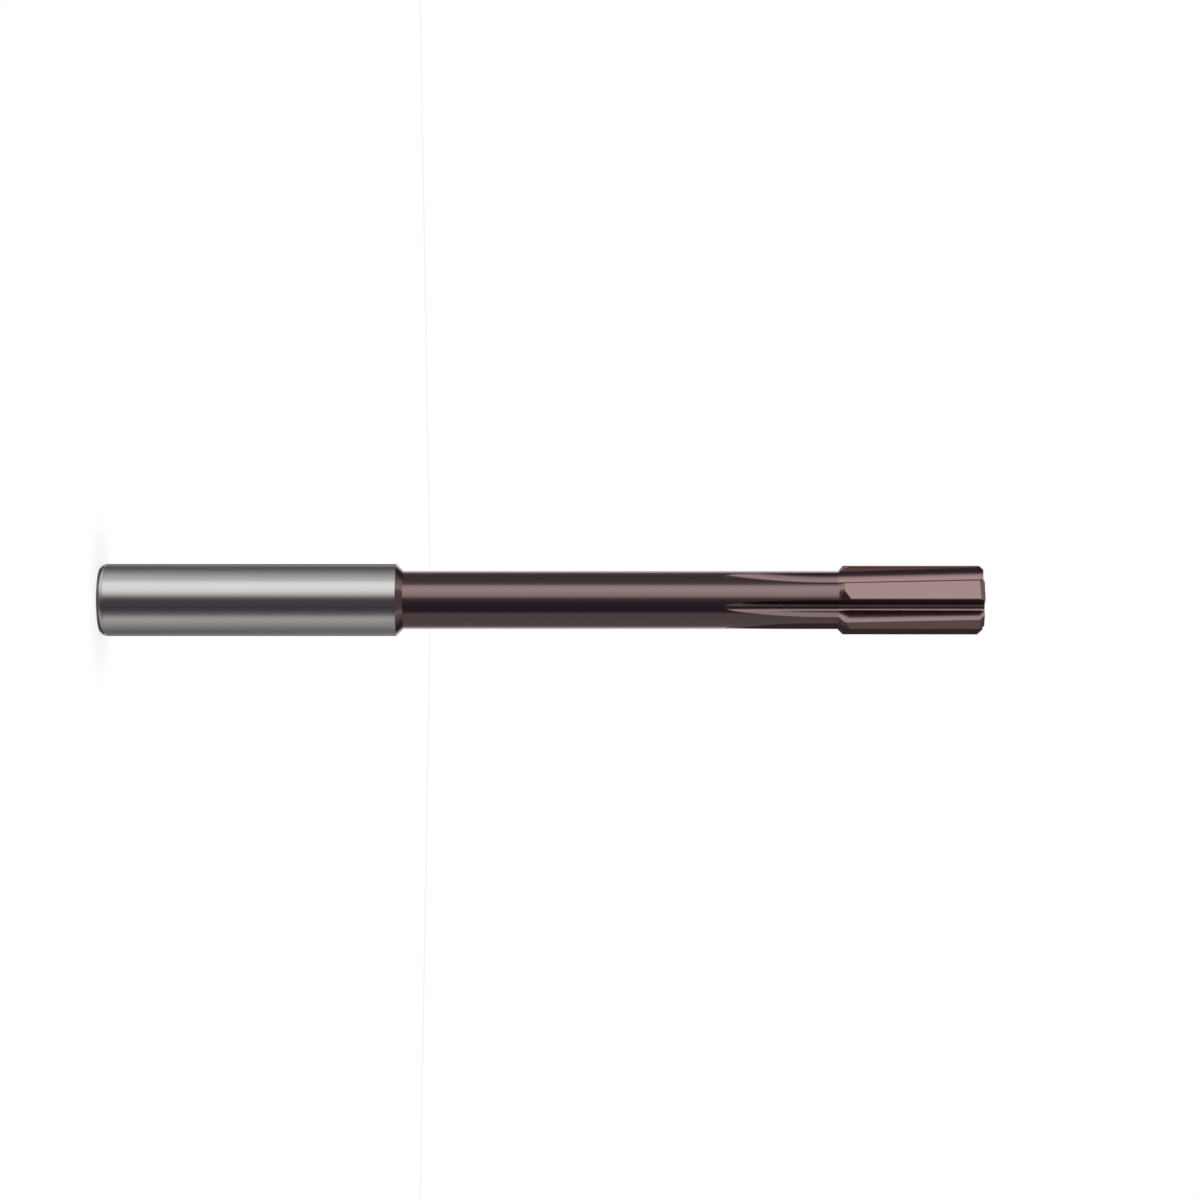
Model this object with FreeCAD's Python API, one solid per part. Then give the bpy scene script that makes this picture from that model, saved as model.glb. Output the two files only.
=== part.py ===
"""Solid machine reamer: ground cylindrical shank, reduced neck and a straight-fluted cutting head.

Lengths are millimetres and angles are degrees. The tool stands on the end of its shank, with the
origin at the centre of that end face and +Z along the axis towards the cutting end. The cutting
edge of the first tooth lies in the plane X = 0, on the -Y side. The tool cuts right-handed, so it
turns that edge towards +X, and the land lies behind the edge, towards -X.

The reamer is ground from one rod, so it is one solid. It is made in the order of the real work:
the turned blank, the flutes, the clearance behind each margin, the back chamfers and the lead.
"""

import FreeCAD, Part

import math
import os

from FreeCAD import Vector

# Blank
OVERALL_LENGTH = 122.4
SHANK_DIAMETER = 10.0
SHANK_LENGTH = 41.1
SHANK_END_CHAMFER = 0.55
SHANK_END_ANGLE = 45.0
SHANK_END_ROUNDING = 0.85     # where the chamfer of the end runs into the shank
SHANK_STEP_ANGLE = 45.0       # cone from the shank down to the neck, against the axis
NECK_DIAMETER = 8.06
CUTTING_DIAMETER = 10.0
HEAD_LENGTH = 20.1            # from the end of the neck to the front face
HEAD_BACK_ANGLE = 45.0        # cone from the neck up to the head, against the axis

# Teeth: pitches of the first half turn. The second half turn repeats them, so edges are opposed
HALF_TURN_PITCHES = (68.6, 58.8, 52.6)

# Flute section. A depth runs out from the axis, and an offset runs from the cutting face
FLOOR_DEPTH = 2.72            # from the axis to the deepest point, where the flute is deepest
ROOT_OFFSET = 1.17            # from the plane of the cutting face to the deepest point
ROOT_RADIUS = 0.78
HOOK_ANGLE = 45.0             # where the hook of the cutting face runs into the root radius
FLOOR_ANGLE = 29.0            # rise of the flat floor towards the heel of the next tooth

# Flute path, in the plane of the cutting face
RUN_OUT_RADIUS = 95.0
FLUTE_RISE_ANGLE = 1.35       # the flute gets shallower towards the front
DEEPEST_BEHIND_HEAD = 1.1     # from the deepest point of the path forward to the end of the neck

# Lands
MARGIN_WIDTH = 0.2            # cylindrical strip behind the cutting edge
CLEARANCE_ANGLE = 17.0        # flat behind the margin
BACK_CHAMFER_LENGTH = 0.6     # at the cutting edge, from the head's rear corner
BACK_CHAMFER_FOOT = 0.06      # how far it passes over the end of the neck
BACK_CHAMFER_TILT = 4.7       # lets the back chamfer run out before it reaches the heel
LEAD_LENGTH = 0.53
LEAD_ANGLE = 45.0
LEAD_CLEARANCE_ANGLE = 16.5

OVERCUT = 1.0                 # how far a cutting volume reaches past what it cuts

SHANK_R = SHANK_DIAMETER / 2
NECK_R = NECK_DIAMETER / 2
HEAD_R = CUTTING_DIAMETER / 2
CLEAR_R = max(SHANK_R, HEAD_R) + OVERCUT
NECK_END_Z = OVERALL_LENGTH - HEAD_LENGTH
HEAD_CORNER_Z = NECK_END_Z + (HEAD_R - NECK_R) / math.tan(math.radians(HEAD_BACK_ANGLE))
AXIS = Vector(0, 0, 1)


def sin(angle):
    """Sine of an angle in degrees."""
    return math.sin(math.radians(angle))


def cos(angle):
    """Cosine of an angle in degrees."""
    return math.cos(math.radians(angle))


def tan(angle):
    """Tangent of an angle in degrees."""
    return math.tan(math.radians(angle))


def at(depth, behind, z):
    """A point of the first tooth: its depth from the axis, its distance behind the edge, its z."""
    return Vector(-behind, -depth, z)


def turned_blank():
    """Shank, step, neck and head as one turned bar."""

    def point(radius, z):
        return Vector(radius, 0, z)

    blend = SHANK_END_ROUNDING * tan(SHANK_END_ANGLE / 2)
    blend_start = point(
        SHANK_R - blend * sin(SHANK_END_ANGLE),
        SHANK_END_CHAMFER - blend * cos(SHANK_END_ANGLE),
    )
    blend_end = point(SHANK_R, SHANK_END_CHAMFER + blend)
    to_middle = point(cos(SHANK_END_ANGLE / 2) - 1, -sin(SHANK_END_ANGLE / 2))
    blend_middle = blend_end + to_middle * SHANK_END_ROUNDING
    outline = [
        blend_end,
        point(SHANK_R, SHANK_LENGTH),
        point(NECK_R, SHANK_LENGTH + (SHANK_R - NECK_R) / tan(SHANK_STEP_ANGLE)),
        point(NECK_R, NECK_END_Z),
        point(HEAD_R, HEAD_CORNER_Z),
        point(HEAD_R, OVERALL_LENGTH),
        point(0, OVERALL_LENGTH),
        point(0, 0),
        point(SHANK_R - SHANK_END_CHAMFER * tan(SHANK_END_ANGLE), 0),
        blend_start,
    ]
    rounding = Part.Arc(blend_start, blend_middle, blend_end).toShape()
    face = Part.Face(Part.Wire(Part.makePolygon(outline).Edges + [rounding]))
    return face.revolve(Vector(), AXIS, 360)


def flute_section(z):
    """What the flute takes out of the blank where it is deepest, as a face square to the axis.

    The cutting face is radial at the edge and hooks into the root radius. From there a flat floor
    rises to the heel of the next tooth.
    """
    root_depth = FLOOR_DEPTH + ROOT_RADIUS

    def root(angle):
        return root_depth - ROOT_RADIUS * cos(angle), ROOT_OFFSET + ROOT_RADIUS * sin(angle)

    hook_end = root(-HOOK_ANGLE)
    hook_radius = hook_end[1] / (1 - sin(HOOK_ANGLE))
    hook_depth = hook_end[0] + hook_radius * cos(HOOK_ANGLE)

    def hook(angle):
        return hook_depth - hook_radius * cos(angle), hook_radius * (1 - sin(angle))

    floor = root(FLOOR_ANGLE)
    along = floor[0] * sin(FLOOR_ANGLE) + floor[1] * cos(FLOOR_ANGLE)
    square = CLEAR_R**2 - floor[0] ** 2 - floor[1] ** 2
    reach = math.sqrt(along**2 + square) - along
    floor_end = (floor[0] + reach * sin(FLOOR_ANGLE), floor[1] + reach * cos(FLOOR_ANGLE))
    top = max(CLEAR_R, hook_depth) + OVERCUT

    def point(place):
        return at(place[0], -place[1], z)

    edges = [
        Part.makeLine(point((top, 0)), point(hook(90))),
        Part.Arc(point(hook(90)), point(hook((90 + HOOK_ANGLE) / 2)), point(hook_end)).toShape(),
        Part.Arc(point(hook_end), point(root(0)), point(floor)).toShape(),
        Part.makeLine(point(floor), point(floor_end)),
        Part.makeLine(point(floor_end), point((top, floor_end[1]))),
        Part.makeLine(point((top, floor_end[1])), point((top, 0))),
    ]
    return Part.Face(Part.Wire(edges))


def flute_cutters():
    """The grinding path of the first tooth's flute: a rising straight and the run-out behind it."""
    deepest_z = NECK_END_Z - DEEPEST_BEHIND_HEAD
    centre = at(FLOOR_DEPTH + RUN_OUT_RADIUS, 0, deepest_z)
    sideways = Vector(1, 0, 0)
    section = flute_section(deepest_z)
    section.rotate(centre, sideways, FLUTE_RISE_ANGLE)
    lift = (CLEAR_R - FLOOR_DEPTH) / RUN_OUT_RADIUS
    run_out_angle = math.degrees(math.acos(1 - lift))
    run_out = section.revolve(centre, sideways, -(run_out_angle + FLUTE_RISE_ANGLE))
    length = OVERALL_LENGTH + OVERCUT - deepest_z
    straight = section.extrude(Vector(0, -length * tan(FLUTE_RISE_ANGLE), length))
    return [run_out, straight]


def clearance_cutter():
    """The flat ground behind the first tooth's margin, from the end of the neck to the front."""
    margin_angle = math.degrees(MARGIN_WIDTH / HEAD_R)
    slope = margin_angle + CLEARANCE_ANGLE
    length = 2 * HEAD_R * sin(CLEARANCE_ANGLE) + OVERCUT
    start = (HEAD_R * cos(margin_angle), HEAD_R * sin(margin_angle))
    end = (start[0] - length * sin(slope), start[1] + length * cos(slope))
    corners = [start, end, (end[0] + CLEAR_R, end[1]), (start[0] + CLEAR_R, start[1])]
    points = [at(depth, behind, NECK_END_Z) for depth, behind in corners]
    face = Part.Face(Part.makePolygon(points + points[:1]))
    return face.extrude(Vector(0, 0, HEAD_LENGTH + OVERCUT))


def chamfer_cutter(corners, sideways):
    """A chamfer on the first tooth: its section in the cutting face, drawn out behind the edge."""
    start = sideways * -OVERCUT
    points = [at(depth, 0, z) + start for depth, z in corners]
    face = Part.Face(Part.makePolygon(points + points[:1]))
    return face.extrude(sideways * (HEAD_R + OVERCUT))


def back_chamfer_cutter():
    """Eases the rear corner of the first tooth, most at the cutting edge and not at the heel."""
    foot = NECK_R + BACK_CHAMFER_FOOT
    run = (HEAD_CORNER_Z + BACK_CHAMFER_LENGTH - NECK_END_Z) / (HEAD_R - foot)
    corners = [
        (foot, NECK_END_Z),
        (CLEAR_R, NECK_END_Z + run * (CLEAR_R - foot)),
        (CLEAR_R, NECK_END_Z),
    ]
    sideways = at(sin(BACK_CHAMFER_TILT), cos(BACK_CHAMFER_TILT), 0)
    return chamfer_cutter(corners, sideways)


def lead_cutter():
    """The first tooth's lead: the chamfer that cuts, with clearance behind its edge."""
    depth, z = HEAD_R, OVERALL_LENGTH - LEAD_LENGTH
    line = (-HEAD_R * sin(LEAD_ANGLE), HEAD_R * cos(LEAD_ANGLE))
    normal = (HEAD_R * cos(LEAD_ANGLE), HEAD_R * sin(LEAD_ANGLE))
    corners = [
        (depth - line[0], z - line[1]),
        (depth + line[0], z + line[1]),
        (depth + normal[0], z + normal[1]),
    ]
    drop = sin(LEAD_CLEARANCE_ANGLE)
    sideways = at(
        -drop * cos(LEAD_ANGLE), cos(LEAD_CLEARANCE_ANGLE), -drop * sin(LEAD_ANGLE)
    )
    return chamfer_cutter(corners, sideways)


def tooth_turns():
    """How far behind the first tooth each tooth lies."""
    turns = [0.0]
    for pitch in HALF_TURN_PITCHES * 2:
        turns.append(turns[-1] + 180 * pitch / sum(HALF_TURN_PITCHES))
    return turns[:-1]


def reamer():
    """The whole tool, ground from its blank."""
    first_tooth = flute_cutters() + [clearance_cutter(), back_chamfer_cutter(), lead_cutter()]
    cutters = []
    for turn in tooth_turns():
        for cutter in first_tooth:
            turned = cutter.copy()
            turned.rotate(Vector(), AXIS, -turn)
            cutters.append(turned)
    return turned_blank().cut(cutters).removeSplitter()


def main():
    """Builds the tool and writes its STEP file."""
    os.makedirs("parts", exist_ok=True)
    tool = reamer()
    tool.exportStep("parts/reamer.step")
    print(f"reamer: {tool.Volume:.1f} mm3, {len(tool.Faces)} faces, valid {tool.isValid()}")


main()
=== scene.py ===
"""The looks of a solid machine reamer: a bare ground shank, and a dark coated neck and head.

The tool stands on the end of its shank with its axis along +Z, in metres. The cutting edge of the
first tooth lies in the plane X = 0 on the -Y side, and each land lies behind its edge. The dressed
piece is made as the real one is: a turned blank, from which Geometry Nodes grind the flutes, the
clearances and the chamfers of six unequally spaced teeth.
"""

from __future__ import annotations

import logging
import math
from dataclasses import dataclass
from enum import Enum, auto

import bmesh
import bpy
from mathutils import Matrix, Vector

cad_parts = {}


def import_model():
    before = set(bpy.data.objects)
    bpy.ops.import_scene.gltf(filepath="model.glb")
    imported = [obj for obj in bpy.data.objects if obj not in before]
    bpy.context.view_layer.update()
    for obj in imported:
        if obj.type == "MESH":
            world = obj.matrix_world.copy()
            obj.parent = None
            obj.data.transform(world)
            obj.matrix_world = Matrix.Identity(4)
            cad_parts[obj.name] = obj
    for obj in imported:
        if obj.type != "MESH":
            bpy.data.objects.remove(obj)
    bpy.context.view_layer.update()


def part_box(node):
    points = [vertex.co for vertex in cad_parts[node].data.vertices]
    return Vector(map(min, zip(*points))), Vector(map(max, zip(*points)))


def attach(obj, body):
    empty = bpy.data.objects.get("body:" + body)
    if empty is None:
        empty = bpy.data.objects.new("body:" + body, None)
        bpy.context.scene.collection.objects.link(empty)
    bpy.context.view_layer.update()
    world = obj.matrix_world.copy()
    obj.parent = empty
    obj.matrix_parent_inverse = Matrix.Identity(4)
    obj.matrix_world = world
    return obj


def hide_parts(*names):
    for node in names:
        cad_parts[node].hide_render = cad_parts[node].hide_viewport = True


LOG = logging.getLogger("reamer")

MM = 0.001
OVERCUT = 1.0 * MM            # how far a grinding volume reaches past what it cuts
WHITE = (1.0, 1.0, 1.0, 1.0)

Point2 = tuple[float, float]
Colour = tuple[float, float, float]
Inputs = dict[str | int, object]


class Zone(Enum):
    """The stretches of the tool that have a finish of their own."""

    SHANK = auto()
    END = auto()
    NECK = auto()
    HEAD = auto()


# ---------------------------------------------------------------------------------------------
# Small helpers
# ---------------------------------------------------------------------------------------------


def arc(centre: Point2, radius: float, start: float, end: float, steps: int) -> list[Point2]:
    """Points along a circular arc.

    Args:
        centre: Centre of the arc.
        radius: Radius of the arc.
        start: First angle in degrees, from the first coordinate's direction.
        end: Last angle in degrees.
        steps: Number of chords.

    Returns:
        The steps + 1 points, both ends among them.
    """
    angles = (math.radians(start + (end - start) * i / steps) for i in range(steps + 1))
    return [(centre[0] + radius * math.cos(a), centre[1] + radius * math.sin(a)) for a in angles]


def new_object(name: str, points: list[Vector], faces: list[list[int]]) -> bpy.types.Object:
    """Makes a mesh object with its place in the mesh.

    Args:
        name: Name of the object and its mesh.
        points: The vertices.
        faces: The vertex numbers of each face.

    Returns:
        The object, linked to the scene.
    """
    mesh = bpy.data.meshes.new(name)
    mesh.from_pydata(points, [], faces)
    mesh.validate()
    mesh.update()
    made = bpy.data.objects.new(name, mesh)
    bpy.context.scene.collection.objects.link(made)
    return made


def loft(name: str, rings: list[list[Vector]]) -> bpy.types.Object:
    """Joins closed rings of points into one capped solid.

    Args:
        name: Name of the object.
        rings: Rings of equal length, all in the same order.

    Returns:
        The solid as an object, with its faces outward.
    """
    count = len(rings[0])
    faces = [list(reversed(range(count))), [(len(rings) - 1) * count + i for i in range(count)]]
    for row in range(len(rings) - 1):
        for i in range(count):
            near, far = row * count, (row + 1) * count
            step = (i + 1) % count
            faces.append([near + i, near + step, far + step, far + i])
    solid = new_object(name, [point for ring in rings for point in ring], faces)
    shell = bmesh.new()
    shell.from_mesh(solid.data)
    bmesh.ops.recalc_face_normals(shell, faces=shell.faces)
    shell.to_mesh(solid.data)
    shell.free()
    return solid


def at(depth: float, behind: float, z: float) -> Vector:
    """A point of the first tooth, by its depth from the axis and its distance behind the edge."""
    return Vector((-behind, -depth, z))


@dataclass
class Wiring:
    """A node tree, with short ways to add to it.

    Attributes:
        tree: The tree that gets the nodes.
    """

    tree: bpy.types.NodeTree

    def node(self, kind: str, inputs: Inputs | None = None, **settings: object) -> bpy.types.Node:
        """Adds a node.

        Args:
            kind: Type of the node.
            inputs: What goes into its inputs, by name or number: sockets are linked, values set.
            **settings: Properties of the node, which are set before its inputs.

        Returns:
            The node.
        """
        made = self.tree.nodes.new(kind)
        for name, value in settings.items():
            setattr(made, name, value)
        for name, value in (inputs or {}).items():
            if isinstance(value, bpy.types.NodeSocket):
                self.tree.links.new(value, made.inputs[name])
            else:
                made.inputs[name].default_value = value
        return made

    def calc(self, operation: str, *terms: bpy.types.NodeSocket | float) -> bpy.types.NodeSocket:
        """Adds a Math node.

        Args:
            operation: What it works out.
            *terms: Sockets or numbers for its inputs.

        Returns:
            Its result.
        """
        made = self.node("ShaderNodeMath", dict(enumerate(terms)), operation=operation)
        return made.outputs["Value"]


def new_material(name: str) -> tuple[bpy.types.Material, Wiring]:
    """Makes a material without any node.

    Args:
        name: Name of the material.

    Returns:
        The material, and the wiring of its tree.
    """
    material = bpy.data.materials.new(name)
    material.use_nodes = True
    material.node_tree.nodes.clear()
    return material, Wiring(material.node_tree)


# ---------------------------------------------------------------------------------------------
# Finishes
# ---------------------------------------------------------------------------------------------

PATCH_SIZE = (4 * MM, 4 * MM, 9 * MM)     # faint patches of tint over the marks
NOISE_RANGE = (0.3, 0.7)                  # where most of a noise lies
QUARTER_TURN = 0.25                       # turns the longer gloss from round the axis to along it


@dataclass(frozen=True)
class MetalFinish:
    """A polished or ground metal face with fine marks from the wheel.

    Attributes:
        name: Name of the material.
        colour: Base colour of the metal, linear.
        spread: Relative change of the colour from place to place.
        roughness: Mean roughness.
        roughness_spread: Change of the roughness, both ways.
        mark_size: Length of the marks along the three axes.
        mark_height: Height of the marks.
        along: How much further the gloss spreads along the axis than round it, from 0 to 1.
        edge: Reflection at a grazing angle, against that of a clean mirror.
    """

    name: str
    colour: Colour
    spread: float
    roughness: float
    roughness_spread: float
    mark_size: tuple[float, float, float]
    mark_height: float
    along: float = 0.0
    edge: float = 1.0

    def build(self) -> bpy.types.Material:
        """Makes the material and returns it."""
        material, wiring = new_material(self.name)
        place = wiring.node("ShaderNodeTexCoord").outputs["Object"]
        marks = self._noise(wiring, place, self.mark_size, detail=3.0)
        patches = self._noise(wiring, place, PATCH_SIZE, detail=2.0)
        mean = wiring.calc("MULTIPLY", wiring.calc("ADD", marks, patches), 0.5)
        shades = {"A": self._shade(1 - self.spread), "B": self._shade(1 + self.spread)}
        tint = wiring.node("ShaderNodeMix", {"Factor": mean, **shades}, data_type="RGBA")
        rough = wiring.node(
            "ShaderNodeMapRange",
            {
                "Value": marks,
                "From Min": NOISE_RANGE[0],
                "From Max": NOISE_RANGE[1],
                "To Min": self.roughness - self.roughness_spread,
                "To Max": self.roughness + self.roughness_spread,
            },
        )
        relief = {"Height": marks, "Strength": 1.0, "Distance": self.mark_height}
        bump = wiring.node("ShaderNodeBump", relief)
        round_axis = wiring.node("ShaderNodeTangent", direction_type="RADIAL", axis="Z")
        shader = wiring.node(
            "ShaderNodeBsdfPrincipled",
            {
                "Base Color": tint.outputs["Result"],
                "Metallic": 1.0,
                "Roughness": rough.outputs["Result"],
                "Normal": bump.outputs["Normal"],
                "Specular Tint": (self.edge, self.edge, self.edge, 1.0),
                "Anisotropic": self.along,
                "Anisotropic Rotation": QUARTER_TURN,
                "Tangent": round_axis.outputs["Tangent"],
            },
        )
        wiring.node("ShaderNodeOutputMaterial", {"Surface": shader.outputs["BSDF"]})
        return material

    def _shade(self, factor: float) -> tuple[float, float, float, float]:
        """The base colour times a factor, with full alpha."""
        red, green, blue = (min(1.0, part * factor) for part in self.colour)
        return red, green, blue, 1.0

    @staticmethod
    def _noise(
        wiring: Wiring,
        place: bpy.types.NodeSocket,
        size: tuple[float, float, float],
        detail: float,
    ) -> bpy.types.NodeSocket:
        """Adds a noise.

        Args:
            wiring: Wiring of the material.
            place: The Object coordinates.
            size: Length of one feature along each axis.
            detail: Octaves of the noise.

        Returns:
            The noise's factor.
        """
        scale = tuple(1 / length for length in size)
        scaled = wiring.node("ShaderNodeMapping", {"Vector": place, "Scale": scale})
        fine = {"Vector": scaled.outputs["Vector"], "Scale": 1.0, "Detail": detail}
        return wiring.node("ShaderNodeTexNoise", fine).outputs["Fac"]


FINISHES: dict[Zone, MetalFinish] = {
    Zone.SHANK: MetalFinish(
        name="ground_carbide",
        colour=(0.66, 0.645, 0.63),
        spread=0.04,
        roughness=0.34,
        roughness_spread=0.02,
        mark_size=(6 * MM, 6 * MM, 0.12 * MM),
        mark_height=0.0003 * MM,
        along=1.0,
        edge=0.15,
    ),
    Zone.END: MetalFinish(
        name="ground_shank_end",
        colour=(0.5, 0.48, 0.47),
        spread=0.05,
        roughness=0.34,
        roughness_spread=0.03,
        mark_size=(0.4 * MM, 0.4 * MM, 0.4 * MM),
        mark_height=0.001 * MM,
    ),
    Zone.NECK: MetalFinish(
        name="dark_coated_neck",
        colour=(0.262, 0.182, 0.186),
        spread=0.05,
        roughness=0.17,
        roughness_spread=0.02,
        mark_size=(1.5 * MM, 1.5 * MM, 0.1 * MM),
        mark_height=0.0003 * MM,
    ),
    Zone.HEAD: MetalFinish(
        name="dark_coated_head",
        colour=(0.345, 0.237, 0.232),
        spread=0.05,
        roughness=0.16,
        roughness_spread=0.02,
        mark_size=(1.5 * MM, 1.5 * MM, 0.1 * MM),
        mark_height=0.0003 * MM,
    ),
}


# ---------------------------------------------------------------------------------------------
# The tool
# ---------------------------------------------------------------------------------------------


@dataclass
class Blank:
    """The turned bar, before any flute is ground.

    Attributes:
        length: Overall length.
        shank_radius: Radius of the shank.
        shank_length: Length of the shank, up to the step.
        end_chamfer: Chamfer of the shank's end, at 45 degrees.
        end_rounding: Radius where that chamfer runs into the shank.
        neck_radius: Radius of the neck.
        head_radius: Radius over the cutting edges.
        head_length: Length from the end of the neck to the front face.
        segments: Facets round the axis.
        end_steps: Chords along the rounding.
    """

    length: float
    shank_radius: float
    shank_length: float = 41.1 * MM
    end_chamfer: float = 0.55 * MM
    end_rounding: float = 0.85 * MM
    neck_radius: float = 4.03 * MM
    head_radius: float = 5.0 * MM
    head_length: float = 20.1 * MM
    segments: int = 512
    end_steps: int = 12

    @property
    def neck_end(self) -> float:
        """Height at which the neck ends and the cone of the head starts."""
        return self.length - self.head_length

    @property
    def head_corner(self) -> float:
        """Height at which the cone behind the head reaches the full radius."""
        return self.neck_end + self.head_radius - self.neck_radius

    @property
    def step_top(self) -> float:
        """Height at which the cone of the step has come down to the neck."""
        return self.shank_length + self.shank_radius - self.neck_radius

    @property
    def end_top(self) -> float:
        """Height at which the rounded chamfer of the end has become the plain shank."""
        return self.end_chamfer + self.end_rounding * math.tan(math.radians(45 / 2))

    def outline(self) -> list[Point2]:
        """Half section from the shank's end to the front face, as (radius, height) points."""
        centre = (self.shank_radius - self.end_rounding, self.end_top)
        return [
            (self.shank_radius - self.end_chamfer, 0.0),
            *arc(centre, self.end_rounding, -45, 0, self.end_steps),
            (self.shank_radius, self.shank_length),
            (self.neck_radius, self.step_top),
            (self.neck_radius, self.neck_end),
            (self.head_radius, self.head_corner),
            (self.head_radius, self.length),
        ]

    def build(self) -> bpy.types.Object:
        """Spins the half section round the axis and returns the closed blank."""
        turns = [2 * math.pi * i / self.segments for i in range(self.segments)]
        rings = [
            [Vector((radius * math.cos(turn), radius * math.sin(turn), z)) for turn in turns]
            for radius, z in self.outline()
        ]
        return loft("blank", rings)


@dataclass
class Flute:
    """One straight flute, as the volume that its wheel takes out ahead of the first tooth.

    Attributes:
        blank: The bar that the flute is ground into.
        floor_depth: From the axis to the deepest point of the section.
        root_offset: From the plane of the cutting face to that point.
        root_radius: Radius of the root.
        hook_angle: Angle at which the hook of the cutting face runs into the root, in degrees.
        floor_angle: Rise of the flat floor towards the next heel, in degrees.
        run_out_radius: Radius of the wheel's path where it leaves the neck.
        rise_angle: Rise of the straight path towards the front, in degrees.
        deepest_behind_head: From the deepest point of the path forward to the end of the neck.
        reach: How far out the section's outer corners lie.
        hook_steps: Chords along the hook.
        root_steps: Chords along the root.
        run_out_steps: Chords along the run-out.
    """

    blank: Blank
    floor_depth: float = 2.72 * MM
    root_offset: float = 1.17 * MM
    root_radius: float = 0.78 * MM
    hook_angle: float = 45.0
    floor_angle: float = 29.0
    run_out_radius: float = 95.0 * MM
    rise_angle: float = 1.35
    deepest_behind_head: float = 1.1 * MM
    reach: float = 6.0 * MM
    hook_steps: int = 14
    root_steps: int = 22
    run_out_steps: int = 48

    def section(self) -> list[Point2]:
        """The flute's section, as (depth from the axis, distance ahead of the edge) points."""
        root = (self.floor_depth + self.root_radius, self.root_offset)
        slant = math.radians(self.hook_angle)
        floor = math.radians(self.floor_angle)
        hook_end_ahead = root[1] - self.root_radius * math.sin(slant)
        hook_radius = hook_end_ahead / (1 - math.sin(slant))
        hook_depth = root[0] + (hook_radius - self.root_radius) * math.cos(slant)
        turn_in = 180 + self.hook_angle
        hook = arc((hook_depth, hook_radius), hook_radius, 270, turn_in, self.hook_steps)
        foot = arc(root, self.root_radius, turn_in, 180 - self.floor_angle, self.root_steps)
        top = max(self.reach, hook_depth) + OVERCUT
        run = (top - foot[-1][0]) / math.sin(floor)
        floor_end = (top, foot[-1][1] + run * math.cos(floor))
        return [(top, 0.0), *hook, *foot[1:], floor_end]

    def build(self) -> bpy.types.Object:
        """Sweeps the section along the run-out and the rising straight and returns the volume."""
        deepest_z = self.blank.neck_end - self.deepest_behind_head
        centre = at(self.floor_depth + self.run_out_radius, 0, deepest_z)
        section = [at(depth, -ahead, deepest_z) for depth, ahead in self.section()]
        lift = (self.reach - self.floor_depth) / self.run_out_radius
        sweep = math.acos(1 - lift) + math.radians(self.rise_angle)
        rise = math.radians(self.rise_angle)

        rings = []
        for step in range(self.run_out_steps + 1):
            turn = Matrix.Rotation(rise - sweep * (1 - step / self.run_out_steps), 3, "X")
            rings.append([turn @ (point - centre) + centre for point in section])
        length = self.blank.length + OVERCUT - deepest_z
        onward = Vector((0, -length * math.tan(rise), length))
        rings.append([point + onward for point in rings[-1]])
        return loft("flute_volume", rings)


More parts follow.
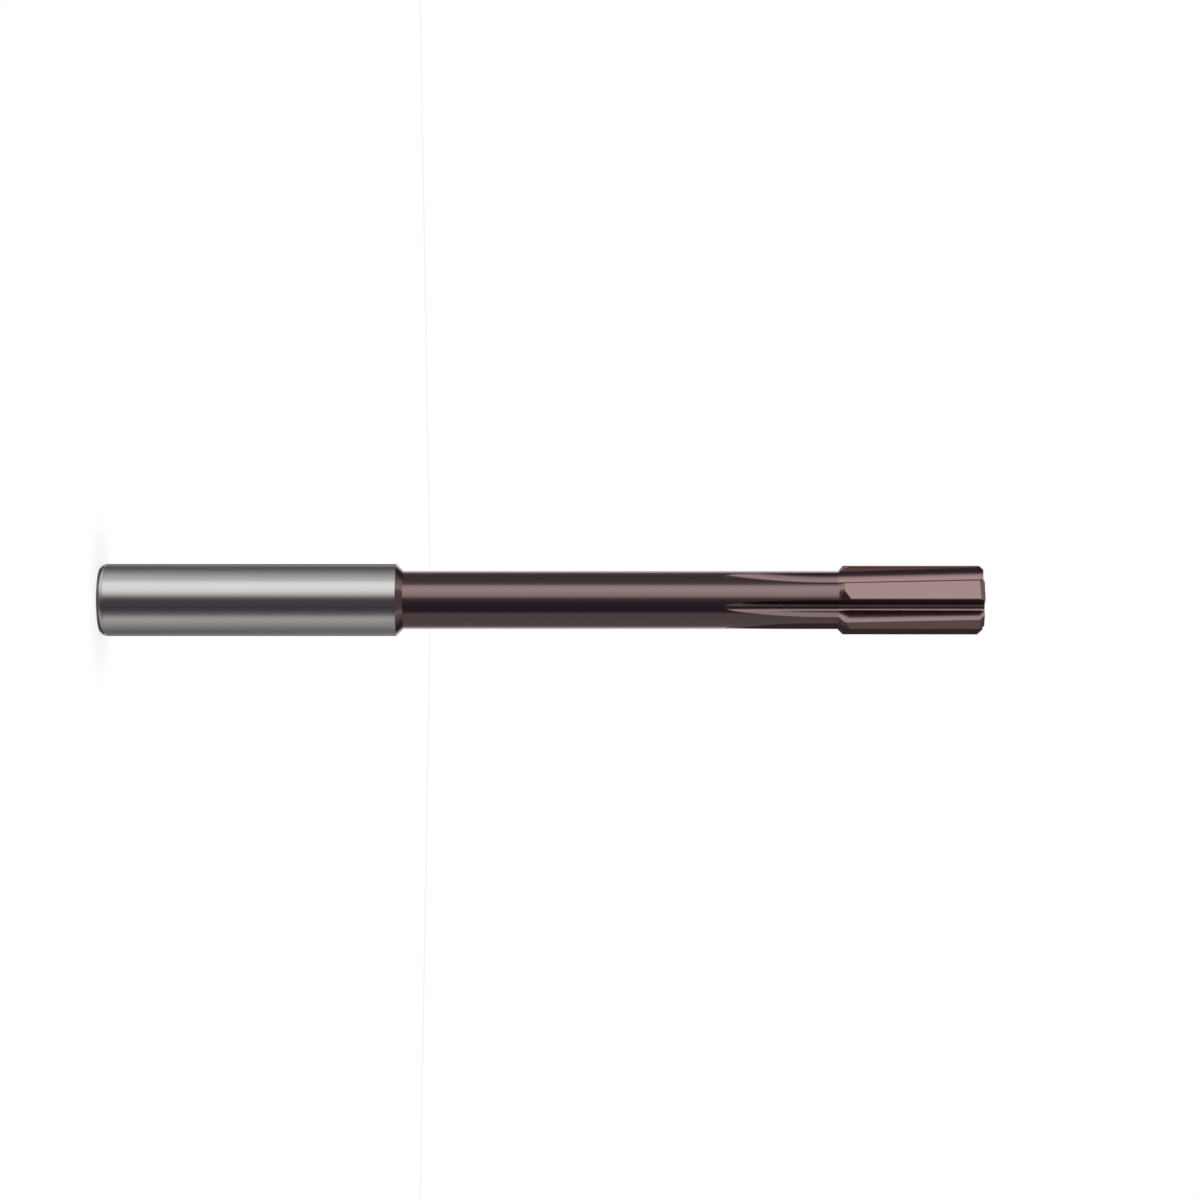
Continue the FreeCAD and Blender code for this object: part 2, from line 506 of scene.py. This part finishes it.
@dataclass
class Land:
    """What is ground off the top of the first tooth.

    Attributes:
        blank: The bar that the teeth are ground from.
        margin_width: Cylindrical strip behind the cutting edge.
        clearance_angle: Angle of the flat behind the margin, in degrees.
        clearance_rear: How far behind the end of the neck its volume starts.
        back_chamfer_length: Back chamfer at the cutting edge, from the head's rear corner.
        back_chamfer_foot: How far the back chamfer passes over the end of the neck.
        back_chamfer_tilt: Lets the back chamfer run out before the heel, in degrees.
        lead_length: Length of the lead that cuts, at 45 degrees.
        lead_clearance: Clearance behind the edge of the lead, in degrees.
        reach: How far out the volumes go.
    """

    blank: Blank
    margin_width: float = 0.2 * MM
    clearance_angle: float = 17.0
    clearance_rear: float = 0.25 * MM
    back_chamfer_length: float = 0.6 * MM
    back_chamfer_foot: float = 0.06 * MM
    back_chamfer_tilt: float = 4.7
    lead_length: float = 0.53 * MM
    lead_clearance: float = 16.5
    reach: float = 6.0 * MM

    def clearance(self) -> bpy.types.Object:
        """The volume over the flat behind the margin."""
        radius = self.blank.head_radius
        margin = self.margin_width / radius
        slope = margin + math.radians(self.clearance_angle)
        length = 2 * radius * math.sin(math.radians(self.clearance_angle)) + OVERCUT
        start = (radius * math.cos(margin), radius * math.sin(margin))
        end = (start[0] - length * math.sin(slope), start[1] + length * math.cos(slope))
        corners = [start, end, (end[0] + self.reach, end[1]), (start[0] + self.reach, start[1])]
        rear = self.blank.neck_end - self.clearance_rear
        front = self.blank.length + OVERCUT
        rings = [[at(depth, behind, z) for depth, behind in corners] for z in (rear, front)]
        return loft("clearance_volume", rings)

    def back_chamfer(self) -> bpy.types.Object:
        """The volume over the rear corner, most at the cutting edge and none at the heel."""
        blank = self.blank
        foot = blank.neck_radius + self.back_chamfer_foot
        run = blank.head_corner + self.back_chamfer_length - blank.neck_end
        slope = run / (blank.head_radius - foot)
        corners = [
            (foot, blank.neck_end),
            (self.reach, blank.neck_end),
            (self.reach, blank.neck_end + slope * (self.reach - foot)),
        ]
        tilt = math.radians(self.back_chamfer_tilt)
        behind = at(math.sin(tilt), math.cos(tilt), 0)
        return self._drawn_out("back_chamfer_volume", corners, behind)

    def lead(self) -> bpy.types.Object:
        """The volume over the lead, which falls away behind its cutting edge."""
        radius = self.blank.head_radius
        depth, z = radius, self.blank.length - self.lead_length
        half = radius * math.sqrt(0.5)
        corners = [
            (depth + half, z - half),
            (depth + half, z + half),
            (depth - half, z + half),
        ]
        clearance = math.radians(self.lead_clearance)
        drop = math.sin(clearance) * math.sqrt(0.5)
        return self._drawn_out("lead_volume", corners, at(-drop, math.cos(clearance), -drop))

    def _drawn_out(self, name: str, corners: list[Point2], behind: Vector) -> bpy.types.Object:
        """Draws a section in the cutting face out behind the edge.

        Args:
            name: Name of the object.
            corners: The section, as (depth, height) points.
            behind: Direction in which the section is drawn out.

        Returns:
            The volume as an object.
        """
        near = [at(depth, 0, z) - behind * OVERCUT for depth, z in corners]
        onward = behind * (self.blank.head_radius + 2 * OVERCUT)
        return loft(name, [near, [point + onward for point in near]])


@dataclass
class Reamer:
    """The whole tool, which is one piece.

    Attributes:
        blank: The turned bar.
        pitches: Angles between the cutting edges of one half turn, in degrees.
        crease: Smallest angle between faces that meet in a sharp edge, in degrees.
    """

    blank: Blank
    pitches: tuple[float, float, float] = (68.6, 58.8, 52.6)
    crease: float = 9.0

    def build(self) -> bpy.types.Object:
        """Grinds the teeth out of the blank and returns the dressed tool as a plain mesh."""
        land = Land(self.blank)
        volumes = {
            "Flute": Flute(self.blank).build(),
            "Clearance": land.clearance(),
            "Back chamfer": land.back_chamfer(),
            "Lead": land.lead(),
        }
        numbers = {
            "First pitch": math.radians(self.pitches[0]),
            "Second pitch": math.radians(self.pitches[1]),
            "Third pitch": math.radians(self.pitches[2]),
            "Crease angle": math.radians(self.crease),
            "Shank start": self.blank.end_top,
            "Shank end": self.blank.shank_length,
            "Neck end": self.blank.neck_end,
        }
        tool = self.blank.build()
        tree = self._tree(list(numbers), list(volumes))
        modifier = tool.modifiers.new("grinding", "NODES")
        modifier.node_group = tree
        sockets = {item.name: item.identifier for item in tree.interface.items_tree}
        for name, value in {**numbers, **volumes}.items():
            modifier[sockets[name]] = value
        self._bake(tool, modifier)
        for volume in volumes.values():
            bpy.data.objects.remove(volume)
        tool.name = "reamer_ground"
        return tool

    @staticmethod
    def _bake(tool: bpy.types.Object, modifier: bpy.types.Modifier) -> None:
        """Turns the evaluated result into the object's own plain mesh."""
        evaluated = tool.evaluated_get(bpy.context.evaluated_depsgraph_get())
        baked = bpy.data.meshes.new_from_object(evaluated)
        tool.modifiers.remove(modifier)
        tool.data = baked

    def _tree(self, numbers: list[str], volumes: list[str]) -> bpy.types.NodeTree:
        """Makes the node tree that grinds the teeth.

        Args:
            numbers: Names of the inputs for the spacing, the sharp edges and the finishes' limits.
            volumes: Names of the inputs that hold one tooth's grinding volumes.

        Returns:
            The tree.
        """
        tree = bpy.data.node_groups.new("ground_teeth", "GeometryNodeTree")
        kinds = {
            "Geometry": "NodeSocketGeometry",
            **dict.fromkeys(numbers, "NodeSocketFloat"),
            **dict.fromkeys(volumes, "NodeSocketObject"),
        }
        for name, kind in kinds.items():
            tree.interface.new_socket(name, in_out="INPUT", socket_type=kind)
        tree.interface.new_socket("Geometry", in_out="OUTPUT", socket_type="NodeSocketGeometry")

        wiring = Wiring(tree)
        given = wiring.node("NodeGroupInput").outputs
        tooth = wiring.node("GeometryNodeJoinGeometry")
        for name in reversed(volumes):
            volume = wiring.node(
                "GeometryNodeObjectInfo", {"Object": given[name]}, transform_space="ORIGINAL"
            )
            tree.links.new(volume.outputs["Geometry"], tooth.inputs["Geometry"])
        spots = wiring.node("GeometryNodePoints", {"Count": 2 * len(self.pitches)})
        turned = wiring.node(
            "GeometryNodeInstanceOnPoints",
            {
                "Points": spots.outputs["Points"],
                "Instance": tooth.outputs["Geometry"],
                "Rotation": self._turn(wiring, given),
            },
        )
        instances = turned.outputs["Instances"]
        teeth = wiring.node("GeometryNodeRealizeInstances", {"Geometry": instances})
        ground = wiring.node(
            "GeometryNodeMeshBoolean",
            {
                "Mesh 1": given["Geometry"],
                "Mesh 2": teeth.outputs["Geometry"],
                "Self Intersection": True,
            },
            operation="DIFFERENCE",
            solver="EXACT",
        )
        creased = self._creased(wiring, ground.outputs["Mesh"], given["Crease angle"])
        wiring.node("NodeGroupOutput", {"Geometry": self._dressed(wiring, creased, given)})
        return tree

    def _turn(self, wiring: Wiring, given: bpy.types.NodeOutputs) -> bpy.types.NodeSocket:
        """The turn of each tooth about the axis: the pitches of a half turn, and then again."""
        calc = wiring.calc
        count = float(len(self.pitches))
        index = wiring.node("GeometryNodeInputIndex").outputs["Index"]
        in_half = calc("MODULO", index, count)
        half = calc("FLOOR", calc("DIVIDE", index, count))
        first, second, third = given["First pitch"], given["Second pitch"], given["Third pitch"]
        after_first = calc("MULTIPLY", calc("GREATER_THAN", in_half, 0.5), first)
        after_second = calc("MULTIPLY", calc("GREATER_THAN", in_half, 1.5), second)
        pitches = calc("ADD", calc("ADD", first, second), third)
        scale = calc("DIVIDE", math.pi, pitches)
        turn = calc("MULTIPLY", calc("ADD", after_first, after_second), scale)
        behind = calc("ADD", turn, calc("MULTIPLY", half, math.pi))
        rotation = wiring.node("ShaderNodeCombineXYZ", {"Z": calc("MULTIPLY", behind, -1.0)})
        return rotation.outputs["Vector"]

    @staticmethod
    def _creased(
        wiring: Wiring, mesh: bpy.types.NodeSocket, angle: bpy.types.NodeSocket
    ) -> bpy.types.NodeSocket:
        """Shades the mesh smooth, with sharp edges where faces meet at more than an angle."""
        smooth = wiring.node(
            "GeometryNodeSetShadeSmooth", {"Geometry": mesh, "Shade Smooth": True}, domain="FACE"
        )
        edge = wiring.node("GeometryNodeInputMeshEdgeAngle")
        flat = wiring.node(
            "FunctionNodeCompare",
            {"A": edge.outputs["Unsigned Angle"], "B": angle},
            data_type="FLOAT",
            operation="LESS_THAN",
        )
        sharp = wiring.node(
            "GeometryNodeSetShadeSmooth",
            {"Geometry": smooth.outputs["Geometry"], "Shade Smooth": flat.outputs["Result"]},
            domain="EDGE",
        )
        return sharp.outputs["Geometry"]

    @staticmethod
    def _dressed(
        wiring: Wiring, mesh: bpy.types.NodeSocket, given: bpy.types.NodeOutputs
    ) -> bpy.types.NodeSocket:
        """Gives each stretch of the tool its finish, by the height of its faces."""
        place = wiring.node("GeometryNodeInputPosition").outputs["Position"]
        height = wiring.node("ShaderNodeSeparateXYZ", {"Vector": place}).outputs["Z"]
        plain = wiring.node("GeometryNodeRealizeInstances", {"Geometry": mesh}).outputs["Geometry"]
        head = {"Geometry": plain, "Material": FINISHES[Zone.HEAD].build()}
        geometry = wiring.node("GeometryNodeSetMaterial", head).outputs["Geometry"]
        limits = {Zone.NECK: "Neck end", Zone.SHANK: "Shank end", Zone.END: "Shank start"}
        for zone, limit in limits.items():
            stretch = {
                "Geometry": geometry,
                "Selection": wiring.calc("LESS_THAN", height, given[limit]),
                "Material": FINISHES[zone].build(),
            }
            geometry = wiring.node("GeometryNodeSetMaterial", stretch).outputs["Geometry"]
        return geometry


# ---------------------------------------------------------------------------------------------
# The studio
# ---------------------------------------------------------------------------------------------


@dataclass(frozen=True)
class Stop:
    """Brightness of the panels at one azimuth.

    Attributes:
        azimuth: In degrees, from the camera's side towards the lands of the first tooth.
        middle: Brightness level with the tool.
        outer: Brightness above and below that band.
    """

    azimuth: float
    middle: float
    outer: float


@dataclass
class Studio:
    """A pale floor, a ring of soft panels round the tool, and the camera.

    Azimuths are in degrees, from the camera's side towards the lands of the first tooth.

    Attributes:
        aim_height: Height that the camera looks at.
        camera_distance: From the tool's axis to the camera.
        lens: Focal length of the camera in millimetres.
        sensor: Width of its sensor in millimetres.
        fill: Brightness of the world where only a diffuse ray sees it.
        floor_half: Half the width of the floor.
        floor_paint: Colour of the floor where only a diffuse ray sees it.
        panel_distance: From the tool's axis to the panels.
        panel_low: Height of the panels' lower edge.
        panel_high: Height of the panels' upper edge.
        shadow_reach: How far the tool's soft shadow goes on the floor.
        shadow_depth: How much that shadow darkens the floor at most.
        below: Brightness of the panel under the tool.
        above: Brightness of the panel over it.
        middle_rows: Lower and upper edge of the panels' middle band.
        fade: Height over which the middle band fades into the rest.
        dark_level: Brightness under which a panel takes on a tint.
        dark_tint: The tint of a panel with no light in it.
        stops: Brightness of the panels round the tool.
    """

    aim_height: float
    camera_distance: float = 463 * MM
    lens: float = 100.0
    sensor: float = 36.0
    fill: float = 0.6
    floor_half: float = 2000 * MM
    floor_paint: Colour = (0.8, 0.8, 0.8)
    panel_distance: float = 900 * MM
    panel_low: float = -2500 * MM
    panel_high: float = 2600 * MM
    shadow_reach: float = 8 * MM
    shadow_depth: float = 0.3
    below: float = 0.14
    above: float = 0.22
    middle_rows: tuple[float, float] = (-150 * MM, 300 * MM)
    fade: float = 140 * MM
    dark_level: float = 0.2
    dark_tint: Colour = (1.0, 0.7, 1.08)
    stops: tuple[Stop, ...] = (
        Stop(-180, 1.0, 0.1),
        Stop(-143, 0.95, 0.05),
        Stop(-136, 0.36, 0.05),
        Stop(-120, 0.28, 0.19),
        Stop(-95, 0.27, 0.6),
        Stop(-77, 0.26, 0.8),
        Stop(-65, 0.27, 0.76),
        Stop(-58, 0.28, 0.5),
        Stop(-50, 0.085, 0.2),
        Stop(-44, 0.07, 0.1),
        Stop(-34, 0.067, 0.06),
        Stop(-17, 0.075, 0.08),
        Stop(-4, 0.105, 0.09),
        Stop(4, 0.15, 0.07),
        Stop(8, 0.33, 0.09),
        Stop(14, 0.72, 0.25),
        Stop(21, 0.88, 0.6),
        Stop(30, 1.02, 1.0),
        Stop(36, 1.1, 1.2),
        Stop(54, 1.08, 1.2),
        Stop(58, 0.95, 1.25),
        Stop(64, 0.3, 1.35),
        Stop(77, 0.18, 1.2),
        Stop(88, 0.16, 1.12),
        Stop(104, 0.15, 0.75),
        Stop(133, 0.18, 0.06),
        Stop(143, 0.95, 0.05),
        Stop(180, 1.0, 0.1),
    )

    def build(self) -> None:
        """Builds the floor, the panels, the world and the camera."""
        self._floor()
        self._panels()
        self._world()
        self._camera()

    def _camera(self) -> None:
        """The camera looks at the tool from the side, turned so that the tool lies in the frame."""
        data = bpy.data.cameras.new("camera")
        data.lens = self.lens
        data.sensor_width = self.sensor
        data.clip_start = 10 * MM
        camera = bpy.data.objects.new("camera", data)
        right, up, back = Vector((0, 0, 1)), Vector((-1, 0, 0)), Vector((0, -1, 0))
        turn = Matrix((right, up, back)).transposed().to_4x4()
        camera.matrix_world = Matrix.Translation((0, -self.camera_distance, self.aim_height)) @ turn
        bpy.context.scene.collection.objects.link(camera)
        bpy.context.scene.camera = camera

    def _world(self) -> None:
        """An even world, white where the camera or a reflection sees it."""
        world = bpy.data.worlds.new("studio")
        world.use_nodes = True
        world.node_tree.nodes.clear()
        wiring = Wiring(world.node_tree)
        fill_to_white = {"Value": seen_directly(wiring), "To Min": self.fill, "To Max": 1.0}
        strength = wiring.node("ShaderNodeMapRange", fill_to_white).outputs["Result"]
        background = wiring.node("ShaderNodeBackground", {"Color": WHITE, "Strength": strength})
        wiring.node("ShaderNodeOutputWorld", {"Surface": background.outputs["Background"]})
        bpy.context.scene.world = world

    def _floor(self) -> None:
        """A plain white floor at the tool's end, which keeps the tool's shadow."""
        half = self.floor_half
        square = ((-half, -half), (half, -half), (half, half), (-half, half))
        floor = new_object("floor", [Vector((x, y, 0)) for x, y in square], [[0, 1, 2, 3]])
        material, wiring = new_material("floor_white")
        reach = {"Distance": self.shadow_reach}
        near = wiring.node("ShaderNodeAmbientOcclusion", reach, samples=8)
        dark_to_white = {"Value": near.outputs["AO"], "To Min": 1 - self.shadow_depth}
        shadow = wiring.node("ShaderNodeMapRange", dark_to_white).outputs["Result"]
        white = wiring.node("ShaderNodeEmission", {"Color": WHITE, "Strength": shadow})
        paint = wiring.node("ShaderNodeBsdfDiffuse", {"Color": (*self.floor_paint, 1.0)})
        mix = wiring.node(
            "ShaderNodeMixShader",
            {"Fac": seen_directly(wiring), 1: paint.outputs["BSDF"], 2: white.outputs["Emission"]},
        )
        wiring.node("ShaderNodeOutputMaterial", {"Surface": mix.outputs["Shader"]})
        floor.data.materials.append(material)
        floor.visible_glossy = False

    def _panels(self) -> None:
        """A ring of tall panels with a cap at each end, lit by azimuth and height."""
        low, high = self.middle_rows
        heights = (self.panel_low, low - self.fade, low, high, high + self.fade, self.panel_high)
        points, levels, faces = [], [], []
        for stop in self.stops:
            points += [self._on_ring(stop, z) for z in heights]
            levels += [stop.outer] * 2 + [stop.middle] * 2 + [stop.outer] * 2
        for column in range(len(self.stops) - 1):
            for row in range(len(heights) - 1):
                near, far = column * len(heights) + row, (column + 1) * len(heights) + row
                faces.append([near, near + 1, far + 1, far])
        for z, level in ((self.panel_low, self.below), (self.panel_high, self.above)):
            first = len(points)
            points += [self._on_ring(stop, z) for stop in self.stops[:-1]]
            levels += [level] * (len(points) - first)
            faces.append(list(range(first, len(points))))
        ring = new_object("panels", points, faces)
        glow = ring.data.attributes.new("glow", "FLOAT_COLOR", "POINT")
        for place, level in zip(glow.data, levels):
            place.color = (*self._glow(level), 1.0)
        material, wiring = new_material("panel_glow")
        shade = wiring.node("ShaderNodeAttribute", attribute_name=glow.name).outputs["Color"]
        light = wiring.node("ShaderNodeEmission", {"Color": shade}).outputs["Emission"]
        wiring.node("ShaderNodeOutputMaterial", {"Surface": light})
        ring.data.materials.append(material)
        ring.visible_camera = False

    def _on_ring(self, stop: Stop, z: float) -> Vector:
        """A point of the ring of panels, at a stop's azimuth and a height."""
        turn = math.radians(stop.azimuth)
        reach = self.panel_distance
        return Vector((-reach * math.sin(turn), -reach * math.cos(turn), z))

    def _glow(self, level: float) -> Colour:
        """The colour of a panel: neutral where it is bright, and tinted where it is dark."""
        dark = max(0.0, 1 - level / self.dark_level)
        red, green, blue = (level * (1 + (part - 1) * dark) for part in self.dark_tint)
        return red, green, blue


def seen_directly(wiring: Wiring) -> bpy.types.NodeSocket:
    """One where a camera, glossy or transmission ray meets the surface, and zero elsewhere."""
    path = wiring.node("ShaderNodeLightPath").outputs
    seen = wiring.calc("MAXIMUM", path["Is Camera Ray"], path["Is Glossy Ray"])
    return wiring.calc("MAXIMUM", seen, path["Is Transmission Ray"])


def main() -> None:
    """Loads the frame, dresses the tool, lights it and logs the tool's number of faces."""
    logging.basicConfig(level=logging.INFO, format="%(message)s")
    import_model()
    low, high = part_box("reamer")
    blank = Blank(length=high.z - low.z, shank_radius=(high.y - low.y) / 2)
    tool = Reamer(blank).build()
    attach(tool, "root")
    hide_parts("reamer")
    LOG.info("reamer: %d faces", len(tool.data.polygons))

    Studio(aim_height=69.34 * MM).build()
    bpy.context.scene.view_settings.view_transform = "Standard"


if __name__ == "__main__":
    main()
